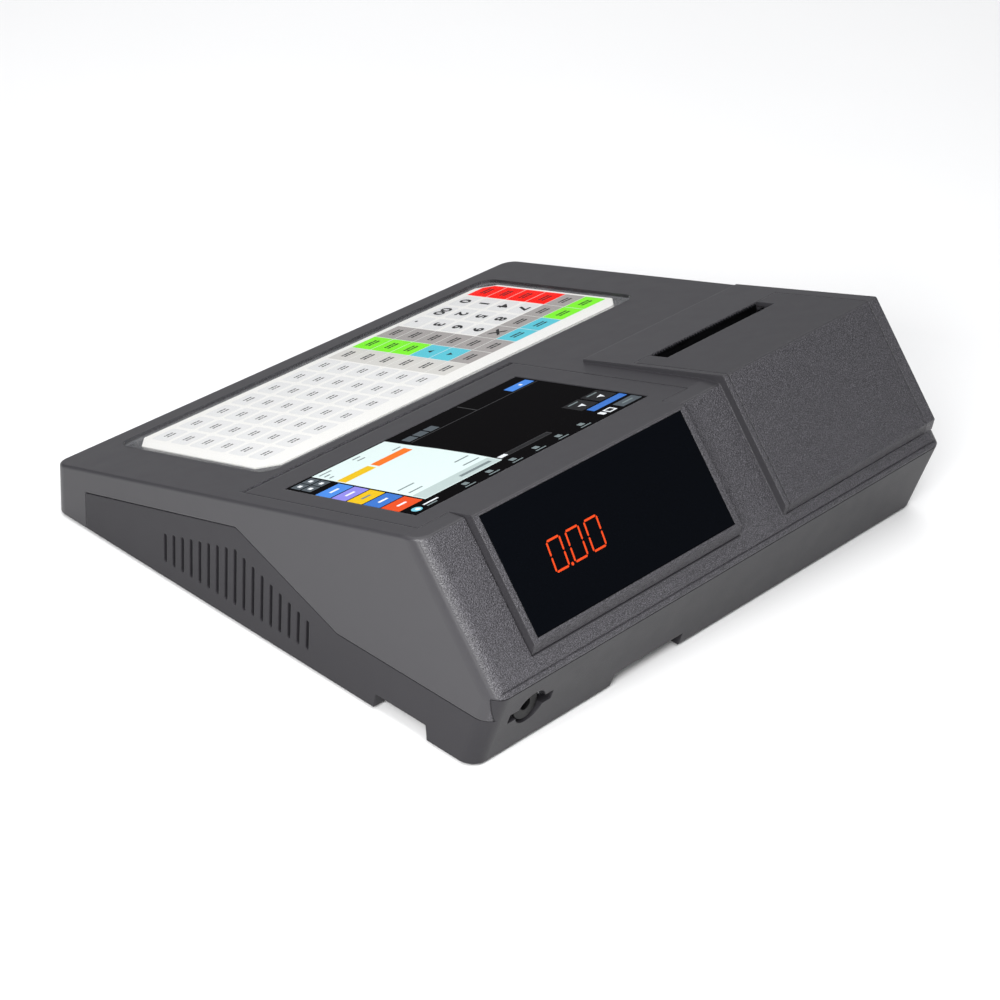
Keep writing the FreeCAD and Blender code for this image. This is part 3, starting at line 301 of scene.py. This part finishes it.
FINISHES = {
    "case_top": sparked("case_top_charcoal", srgb(50, 49, 52), 0.38),
    "lid": sparked("lid_charcoal", srgb(47, 46, 49), 0.4),
    "bezel": sparked("bezel_charcoal", srgb(49, 48, 51), 0.38),
    # The base's charcoal is set darker than the top's: painted shade for its dim lower side and rear face,
    # over the plastic's own colour.
    "case_base": moulded("case_base_charcoal_painted_shade", srgb(42, 41, 44), 0.42, ior=1.26),
    "black_plastic": moulded("inner_black", srgb(26, 26, 28), 0.5),
    # The sockets are set far darker than the other black plastic: painted shade for the recesses they sit
    # in, over their own black.
    "socket_black_painted_shade": moulded("socket_black_painted_shade", srgb(9, 9, 10), 0.55, softened=0.0002),
    "off_white": moulded("gear_acetal", srgb(226, 220, 204), 0.4, softened=0.0002),
    "membrane": moulded("membrane_grey", srgb(64, 64, 67), 0.5),
    "ceramic": moulded("glazed_ceramic", srgb(222, 218, 205), 0.2, softened=0.0002),
    "foil": printed("foil_white", srgb(228, 227, 224), 0.45),
    "clear": clear_film("clear_cover_film"),
    "touch_glass": dark_glass("touch_glass", (0.0015, 0.0012, 0.0014, 1.0), 0.08, 1.06),
    "window": dark_glass("window_glass", (0.0008, 0.0012, 0.0022, 1.0), 0.05, 1.22),
    "rubber": soft_rubber("black_rubber", srgb(28, 28, 29)),
    "board": circuit("green_circuit"),
    "steel": metal("drawn_steel", srgb(176, 177, 180), 0.34),
    "bright": metal("plated_steel", srgb(212, 213, 216), 0.14),
    "blackened": metal("blackened_steel", srgb(44, 44, 47), 0.4),
    "aluminium": metal("heat_sink_aluminium", srgb(196, 198, 202), 0.4),
    "paper": fibres("receipt_paper", srgb(240, 238, 232), srgb(228, 226, 219)),
    "card": fibres("core_card", srgb(168, 142, 106), srgb(140, 114, 80)),
}

NODE_FINISHES = {
    "case_top": ["upper_case"],
    "case_base": ["lower_case"],
    "lid": ["printer_cover"],
    "bezel": ["display_bezel"],
    "black_plastic": ["display_back_cover", "customer_back_cover", "customer_digits", "keyboard_ribbon",
                      "paper_bucket", "capacitors", "buzzer"],
    "socket_black_painted_shade": ["drawer_port", "power_inlet"],
    "off_white": ["platen_gear", "idler_gear", "motor_pinion", "ribbon_socket"],
    "membrane": ["keyboard_board", "key_dome_sheet"],
    "ceramic": ["thermal_head"],
    "foil": ["key_foil"],
    "clear": ["keyboard_cover"],
    "touch_glass": ["screen_glass"],
    "window": ["customer_window"],
    "rubber": ["platen_roller", "foot_front_left", "foot_front_right", "foot_rear_left", "foot_rear_right"],
    "board": ["screen_driver_board", "customer_board", "main_board", "port_board"],
    "steel": ["screen_panel", "display_hinge_pin_left", "display_hinge_pin_right", "cover_hinge_pin",
              "platen_shaft", "idler_pin", "motor_shaft", "feed_motor", "printer_frame", "head_spring",
              "printer_screws", "memory_card_slot", "board_screws", "case_screws"],
    "blackened": ["tear_bar"],
    "bright": ["backup_battery", "network_port", "usb_port", "inlet_screws"],
    "aluminium": ["head_heat_sink", "processor_heat_sink"],
    "paper": ["paper_roll"],
    "card": ["paper_core"],
}

for finish, names in NODE_FINISHES.items():
    for node_name in names:
        for slot in NODES[node_name].material_slots:
            slot.material = FINISHES[finish]


# ---------------------------------------------------------------- flat artwork

CORNER_STEPS = 4
LETTER_WEIGHT = 0.028
LETTER_STRETCH = 1.15


def rounded(x0, x1, s0, s1, radius=0.0):
    """Corners of a rectangle, rounded where a radius is given, anticlockwise."""
    if not radius:
        return [(x0, s0), (x1, s0), (x1, s1), (x0, s1)]
    corners = []
    for cx, cs, start in ((x1 - radius, s0 + radius, -90), (x1 - radius, s1 - radius, 0),
                          (x0 + radius, s1 - radius, 90), (x0 + radius, s0 + radius, 180)):
        for i in range(CORNER_STEPS + 1):
            angle = math.radians(start + 90 * i / CORNER_STEPS)
            corners.append((cx + radius * math.cos(angle), cs + radius * math.sin(angle)))
    return corners


def disc(x, s, radius, steps=24):
    """Corners of a many-sided disc."""
    return [(x + radius * math.cos(math.tau * i / steps), s + radius * math.sin(math.tau * i / steps))
            for i in range(steps)]


class Artwork:
    """Thin plates of several colours on one surface, gathered into one piece."""

    def __init__(self, name, surface, body):
        self.name = name
        self.surface = surface
        self.body = body
        self.mesh = bmesh.new()
        self.materials = []

    def index(self, material):
        """The material's number in this piece, added if it's new."""
        if material not in self.materials:
            self.materials.append(material)
        return self.materials.index(material)

    def plate(self, corners, low, high, material):
        """A flat plate between two heights over the surface."""
        number = self.index(material)
        rings = [[self.mesh.verts.new(self.surface.at(x, s, up)) for x, s in corners] for up in (low, high)]
        faces = [self.mesh.faces.new(rings[0][::-1]), self.mesh.faces.new(rings[1])]
        for i in range(len(corners)):
            j = (i + 1) % len(corners)
            faces.append(self.mesh.faces.new((rings[0][i], rings[0][j], rings[1][j], rings[1][i])))
        for face in faces:
            face.material_index = number

    def text(self, words, x, s, low, high, size, material):
        """Letters centred on (x, s), read from the surface's own side."""
        number = self.index(material)
        curve = bpy.data.curves.new(self.name + "_letters", "FONT")
        curve.body = words
        curve.size = size * MM
        curve.offset = size * MM * LETTER_WEIGHT
        curve.align_x = "CENTER"
        curve.align_y = "CENTER"
        curve.extrude = (high - low) * MM / 2
        curve.resolution_u = 3
        holder = bpy.data.objects.new(curve.name, curve)
        letters = bpy.data.meshes.new_from_object(holder)
        place = self.surface.page(x, s, (low + high) / 2)
        letters.transform(place @ Matrix.Diagonal((LETTER_STRETCH, 1, 1, 1)))
        first = len(self.mesh.faces)
        self.mesh.from_mesh(letters)
        self.mesh.faces.ensure_lookup_table()
        for face in self.mesh.faces[first:]:
            face.material_index = number
        bpy.data.objects.remove(holder)
        bpy.data.curves.remove(curve)
        bpy.data.meshes.remove(letters)

    def finish(self):
        """Makes the gathered plates one object that rides on the body."""
        bmesh.ops.recalc_face_normals(self.mesh, faces=self.mesh.faces)
        data = bpy.data.meshes.new(self.name)
        self.mesh.to_mesh(data)
        self.mesh.free()
        for material in self.materials:
            data.materials.append(material)
        piece = bpy.data.objects.new(self.name, data)
        bpy.context.scene.collection.objects.link(piece)
        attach(piece, self.body)


# ---------------------------------------------------------------- keyboard artwork

INK = printed("key_ink", srgb(38, 38, 40))
KEY_COLOURS = {
    "R": printed("key_red", srgb(250, 28, 18)),
    "G": printed("key_green", srgb(126, 232, 50)),
    "C": printed("key_cyan", srgb(92, 190, 206)),
    "S": printed("key_stone", srgb(160, 156, 154)),
    "L": printed("key_light_grey", srgb(204, 202, 198)),
    "W": printed("key_white", srgb(216, 216, 216)),
}
# One string per column from the cashier's left; each runs from the front row to the rear row.
KEY_COLUMNS = ["RRRRSG", "WWWWSG", "WWWWSC", "WWWWSC", "SSSSSS", "GGGCCS", "LLLLLL"] + ["WWWWWW"] * 7
KEY_LETTERS = {
    (1, 0): "0", (1, 1): "1", (1, 2): "4", (1, 3): "7",
    (2, 0): "00", (2, 1): "2", (2, 2): "5", (2, 3): "8",
    (3, 0): ".", (3, 1): "3", (3, 2): "6", (3, 3): "9", (3, 4): "X",
}
KEY_ARROWS = {(5, 3): -1, (5, 4): 1}
SHEET = (-127.2, 127.2, 16.4, 118.4)
SHEET_CHAMFER = 9.0
SHEET_LEVELS = (FOIL_TOP + 0.02, FOIL_TOP + 0.05)
KEY_LEVELS = (FOIL_TOP + 0.06, FOIL_TOP + 0.1)
INK_LEVELS = (FOIL_TOP + 0.1, FOIL_TOP + 0.15)
KEY_LEFT = -125.5
KEY_FRONT = 20.0
KEY_PITCH_X = 17.5
KEY_PITCH_S = 14.5
COLOURED_INSET = 0.25
WHITE_INSET = 1.3
WHITE_CORNER = 1.6
# The first key's outer corner is cut back, so that it stays on the sheet.
CORNER_CUT = 4.6
NUMERAL_SIZE = 9.5
LABEL_LINES = ((-1.2, (2.0, 1.1, 1.5)), (1.2, (1.4, 2.4, 0.8)))
LABEL_GAP = 0.45


def label(art, x, s, bold):
    """Two lines of small print, as dark dashes."""
    half_line, wide = (0.62, 1.5) if bold else (0.45, 1.0)
    for offset, runs in LABEL_LINES:
        start = x - (sum(runs) * wide + LABEL_GAP * (len(runs) - 1)) / 2
        for run in runs:
            end = start + run * wide
            dash = rounded(start, end, s - offset - half_line, s - offset + half_line)
            art.plate(dash, *INK_LEVELS, INK)
            start = end + LABEL_GAP


def key_field(column, row, plain):
    """The outline of one key's printed field."""
    inset = WHITE_INSET if plain else COLOURED_INSET
    x0 = KEY_LEFT + column * KEY_PITCH_X + inset
    x1 = KEY_LEFT + (column + 1) * KEY_PITCH_X - inset
    s0 = KEY_FRONT + row * KEY_PITCH_S + inset
    s1 = KEY_FRONT + (row + 1) * KEY_PITCH_S - inset
    if (column, row) == (0, 0):
        return [(x0 + CORNER_CUT, s0), (x1, s0), (x1, s1), (x0, s1), (x0, s0 + CORNER_CUT)]
    return rounded(x0, x1, s0, s1, WHITE_CORNER if plain else 0.0)


def keyboard_artwork():
    """The printed sheet over the foil, with its key fields and their marks."""
    art = Artwork("key_print", TOP, "base")
    left, right, front, rear = SHEET
    cut = SHEET_CHAMFER
    art.plate([(left + cut, front), (right - cut, front), (right, front + cut), (right, rear - cut),
               (right - cut, rear), (left + cut, rear), (left, rear - cut), (left, front + cut)],
              *SHEET_LEVELS, FINISHES["foil"])
    for column, colours in enumerate(KEY_COLUMNS):
        for row, colour in enumerate(colours):
            plain = colour == "W"
            art.plate(key_field(column, row, plain), *KEY_LEVELS, KEY_COLOURS[colour])
            x = KEY_LEFT + (column + 0.5) * KEY_PITCH_X
            s = KEY_FRONT + (row + 0.5) * KEY_PITCH_S
            if (column, row) in KEY_LETTERS:
                art.text(KEY_LETTERS[column, row], x, s, *INK_LEVELS, NUMERAL_SIZE, INK)
            elif (column, row) in KEY_ARROWS:
                way = KEY_ARROWS[column, row]
                arrow = [(x - 1.9, s - 1.3 * way), (x + 1.9, s - 1.3 * way), (x, s + 1.7 * way)]
                art.plate(arrow, *INK_LEVELS, INK)
            else:
                label(art, x, s, bold=not plain)
    art.finish()


keyboard_artwork()


# ---------------------------------------------------------------- screen picture

PIXEL_DIMMING = 0.62


def lit(name, red, green, blue, glow=0.35):
    """A lit field of the screen, dimmed because the studio's light adds to its own."""
    return printed("pixel_" + name, shade(srgb(red, green, blue), PIXEL_DIMMING), 0.35, glow)


PIXELS = {
    "panel": lit("panel", 224, 240, 238),
    "footer": lit("footer", 188, 204, 202),
    "text": lit("text", 120, 132, 134, 0.4),
    "yellow": lit("yellow", 232, 190, 20),
    "orange": lit("orange", 240, 118, 30),
    "blue": lit("blue", 60, 116, 200),
    "sky": lit("sky", 74, 138, 226),
    "lavender": lit("lavender", 142, 136, 226),
    "red": lit("red", 226, 78, 30),
    "slate": lit("slate", 82, 90, 96),
    "tile": lit("tile", 34, 34, 36, 0.2),
    "line": lit("line", 62, 62, 64, 0.3),
    "white": lit("white", 224, 228, 232, 0.6),
    "mint": lit("mint", 120, 196, 214, 0.5),
}
SCREEN_RIGHT = 142.4
SCREEN_WIDTH = 154.2
SCREEN_FRONT = 148.4
SCREEN_HEIGHT = 85.9
SCREEN_LIFT = 0.01
SCREEN_LAYER = 0.03
FIELD_CORNER = 0.3


class Screen(Artwork):
    """Artwork on the lit area, in percent of it: across from its right side, and up from its front."""

    def spot(self, across, up):
        return (SCREEN_RIGHT - SCREEN_WIDTH * across / 100, SCREEN_FRONT + SCREEN_HEIGHT * up / 100)

    def paint(self, outline, colour, level=1):
        """A plate of one colour. Each level lies on the one before."""
        low = SCREEN_TOP + SCREEN_LIFT + SCREEN_LAYER * (level - 1)
        self.plate(outline, low, low + SCREEN_LAYER, PIXELS[colour])

    def field(self, a0, a1, u0, u1, colour, level=1):
        """A rectangle between two places across and two places up."""
        x1, s0 = self.spot(a0, u0)
        x0, s1 = self.spot(a1, u1)
        self.paint(rounded(x0, x1, s0, s1, FIELD_CORNER), colour, level)


def side_tiles(screen):
    """Four small tiles and a column of coloured ones."""
    for across in (1.2, 5.6):
        for up in (1.6, 10.0):
            screen.field(across, across + 4.0, up, up + 7.4, "slate")
            screen.field(across + 1.3, across + 2.7, up + 2.4, up + 5.0, "white", 2)
    for up, tall, colour in ((23.5, 11.5, "sky"), (36.0, 11.0, "lavender"), (48.0, 11.4, "yellow"),
                             (60.4, 12.4, "blue"), (73.8, 13.6, "red")):
        screen.field(0.0, 9.6, up, up + tall, colour)
        middle = up + tall / 2
        screen.field(3.0, 6.6, middle - 0.9, middle + 0.9, "text" if colour == "yellow" else "white", 2)


def receipt_panel(screen):
    """A pale list with lines of print, two marked entries and a footer."""
    edge = [(41.0, 0.6), (41.4, 18.0), (42.4, 40.0), (42.9, 66.0), (42.6, 88.0), (10.4, 88.0), (10.4, 0.6)]
    screen.paint([screen.spot(across, up) for across, up in edge], "panel")
    screen.field(10.8, 42.2, 77.6, 87.4, "footer", 2)
    screen.field(10.8, 23.6, 19.6, 26.4, "yellow", 2)
    screen.field(24.8, 39.0, 19.6, 26.4, "orange", 2)
    for up, spans in ((3.6, ((11.6, 16.6), (25.4, 28.6))), (7.6, ((11.6, 14.0), (25.4, 28.6))),
                      (11.8, ((11.6, 13.4),)), (15.4, ((36.0, 39.4),)),
                      (64.0, ((12.0, 18.6), (35.6, 41.4))), (72.2, ((12.0, 17.6), (34.6, 41.4)))):
        for a0, a1 in spans:
            screen.field(a0, a1, up, up + 1.2, "text", 2)
    screen.field(27.6, 40.4, 81.6, 84.2, "text", 3)


def item_area(screen):
    """The dark middle of the picture, with its buttons, rules and two arrow tiles."""
    for across in (43.6, 48.2, 52.8):
        screen.field(across, across + 3.9, 9.0, 15.6, "slate")
    screen.field(43.4, 99.8, 17.2, 17.8, "line")
    screen.field(72.2, 72.6, 1.4, 17.0, "line")
    screen.field(89.4, 99.4, 8.6, 15.8, "sky")
    screen.field(94.6, 95.6, 11.0, 13.4, "white", 2)
    screen.field(42.6, 65.4, 82.2, 86.6, "line")
    screen.field(43.4, 65.0, 82.8, 86.0, "tile", 2)
    screen.field(43.4, 46.4, 82.8, 86.0, "white", 3)
    for across in (83.2, 91.8):
        screen.field(across, across + 7.6, 63.6, 79.0, "tile")
        screen.field(across + 1.6, across + 6.0, 65.6, 66.8, "text", 2)
        x, s = screen.spot(across + 3.8, 73.0)
        arrow = [(x - 2.0, s - 2.0), (x + 2.2, s - 0.8), (x + 0.4, s + 0.2), (x - 0.4, s + 2.4)]
        screen.paint(arrow, "white", 2)
    screen.field(84.4, 99.6, 80.4, 86.4, "blue")


def icon_row(screen):
    """A badge, six icons with captions and the status marks along the rear edge."""
    x, s = screen.spot(3.6, 94.0)
    screen.paint(disc(x, s, 2.6), "mint")
    screen.paint(disc(x - 0.4, s + 0.3, 1.3), "white", 2)
    screen.field(6.8, 12.8, 92.2, 93.6, "white")
    screen.field(6.8, 10.8, 95.2, 96.4, "text")
    for across in (24.0, 34.0, 44.0, 54.0, 64.0, 74.0):
        screen.field(across - 1.0, across + 1.0, 91.4, 95.0, "text")
        screen.field(across - 2.2, across + 2.2, 96.6, 97.6, "text")
    screen.field(83.0, 84.6, 90.6, 95.6, "white")
    screen.field(85.4, 88.8, 90.4, 96.4, "white")
    screen.field(86.0, 88.2, 91.6, 95.2, "tile", 2)
    screen.field(90.8, 99.6, 89.4, 97.4, "slate")
    screen.field(93.0, 97.6, 92.6, 94.0, "text", 2)


def screen_artwork():
    """A made-up sales screen."""
    screen = Screen("screen_picture", TOP, "display")
    side_tiles(screen)
    receipt_panel(screen)
    item_area(screen)
    icon_row(screen)
    screen.finish()


screen_artwork()


# ---------------------------------------------------------------- customer digits

SEGMENT_LIT = printed("segment_orange", srgb(182, 58, 24), 0.4, 0.35)
DIGIT_WIDTH = 8.2
DIGIT_HEIGHT = 14.0
SEGMENT_THICK = 1.0
SEGMENT_GAP = 0.25
POINT_RADIUS = 0.8
POINT_GAP = 2.1
FIGURE_LEVELS = (WINDOW_TOP + 0.005, WINDOW_TOP + 0.03)
DIGIT_SLANT = 0.14
FIRST_DIGIT_X = 99.6
DIGIT_PITCH = 12.3
DIGIT_MIDDLE = 33.0


def customer_artwork():
    """Slanted seven-segment figures that show 0.00 in orange."""
    art = Artwork("customer_figures", SLOPE, "display")
    half_w = DIGIT_WIDTH / 2
    half_h = DIGIT_HEIGHT / 2
    half_t = SEGMENT_THICK / 2

    def bar(a, b, centre_x):
        """A pointed bar between two spots of a figure, in the customer's left-to-right sense."""
        run = Vector(b) - Vector(a)
        along = run.normalized()
        across = Vector((-along.y, along.x)) * half_t
        tip = SEGMENT_GAP
        shoulder = SEGMENT_GAP + half_t
        outline = []
        for reach, side in ((tip, 0), (shoulder, 1), (run.length - shoulder, 1),
                            (run.length - tip, 0), (run.length - shoulder, -1), (shoulder, -1)):
            point = Vector(a) + along * reach + across * side
            outline.append((centre_x - point.x - point.y * DIGIT_SLANT, DIGIT_MIDDLE - point.y))
        art.plate(outline, *FIGURE_LEVELS, SEGMENT_LIT)

    corners = {"tl": (-half_w, half_h), "tr": (half_w, half_h), "ml": (-half_w, 0), "mr": (half_w, 0),
               "bl": (-half_w, -half_h), "br": (half_w, -half_h)}
    zero = (("tl", "tr"), ("tl", "ml"), ("tr", "mr"), ("ml", "bl"), ("mr", "br"), ("bl", "br"))
    for i in range(3):
        for a, b in zero:
            bar(corners[a], corners[b], FIRST_DIGIT_X - i * DIGIT_PITCH)
    point_x = FIRST_DIGIT_X - half_w - POINT_GAP + half_h * DIGIT_SLANT
    art.plate(disc(point_x, DIGIT_MIDDLE + half_h, POINT_RADIUS, 12), *FIGURE_LEVELS, SEGMENT_LIT)
    art.finish()


customer_artwork()


# ---------------------------------------------------------------- studio

def area_light(name, place, target, size, power):
    """A soft box at a place, turned to its target."""
    light = bpy.data.lights.new(name, "AREA")
    light.shape = "RECTANGLE"
    light.size, light.size_y = size
    light.energy = power
    holder = bpy.data.objects.new(name, light)
    holder.location = place
    holder.rotation_euler = (Vector(target) - Vector(place)).to_track_quat("-Z", "Y").to_euler()
    bpy.context.scene.collection.objects.link(holder)


def studio():
    """A pale floor under soft lights, with a faint sky."""
    world = bpy.data.worlds.new("studio_world")
    world.use_nodes = True
    background = world.node_tree.nodes["Background"]
    background.inputs["Color"].default_value = (0.92, 0.94, 1.0, 1.0)
    background.inputs["Strength"].default_value = 0.2
    bpy.context.scene.world = world

    floor_mesh = bpy.data.meshes.new("floor")
    reach = 4.0
    corners = [(-reach, -reach, 0), (reach, -reach, 0), (reach, reach, 0), (-reach, reach, 0)]
    floor_mesh.from_pydata(corners, [], [(0, 1, 2, 3)])
    floor = bpy.data.objects.new("floor", floor_mesh)
    maker = Maker("floor_paint")
    clouds = maker.spread(maker.noise(3, 3.0), 0.0, 1.0)
    tone = maker.mix(clouds, (0.8, 0.8, 0.8, 1.0), (0.82, 0.82, 0.82, 1.0))
    maker.link(tone, maker.shader.inputs["Base Color"])
    floor_mesh.materials.append(maker.set(Roughness=0.9, Specular_IOR_Level=0.2))
    bpy.context.scene.collection.objects.link(floor)

    area_light("overhead", (0.1, -0.1, 1.7), (0, 0, 0.05), (2.4, 2.4), 31)
    area_light("far_floor", (-1.4, -1.3, 1.5), (-1.4, -1.3, 0), (2.0, 2.0), 14)
    area_light("flank", (0.72, 0.4, 0.5), (0.16, 0.08, 0.06), (0.5, 0.3), 10)
    area_light("slope", (0.35, 0.7, 1.0), (0, 0.1, 0.05), (0.3, 0.3), 4)


studio()


# ---------------------------------------------------------------- camera

camera = bpy.data.cameras.new("photo_camera")
camera.sensor_width = 36.0
camera.lens = 102.5
camera.clip_end = 50.0
viewer = bpy.data.objects.new("photo_camera", camera)
viewer_right = Vector((-0.68293, 0.72841, 0.05501))
viewer_back = Vector((0.63684, 0.55681, 0.53328))
viewer_up = viewer_back.cross(viewer_right)
viewer.matrix_world = (Matrix.Translation((0.9034, 0.7893, 0.7636))
                       @ Matrix((viewer_right, viewer_up, viewer_back)).transposed().to_4x4())
bpy.context.scene.collection.objects.link(viewer)
bpy.context.scene.camera = viewer
bpy.context.scene.view_settings.view_transform = "Standard"
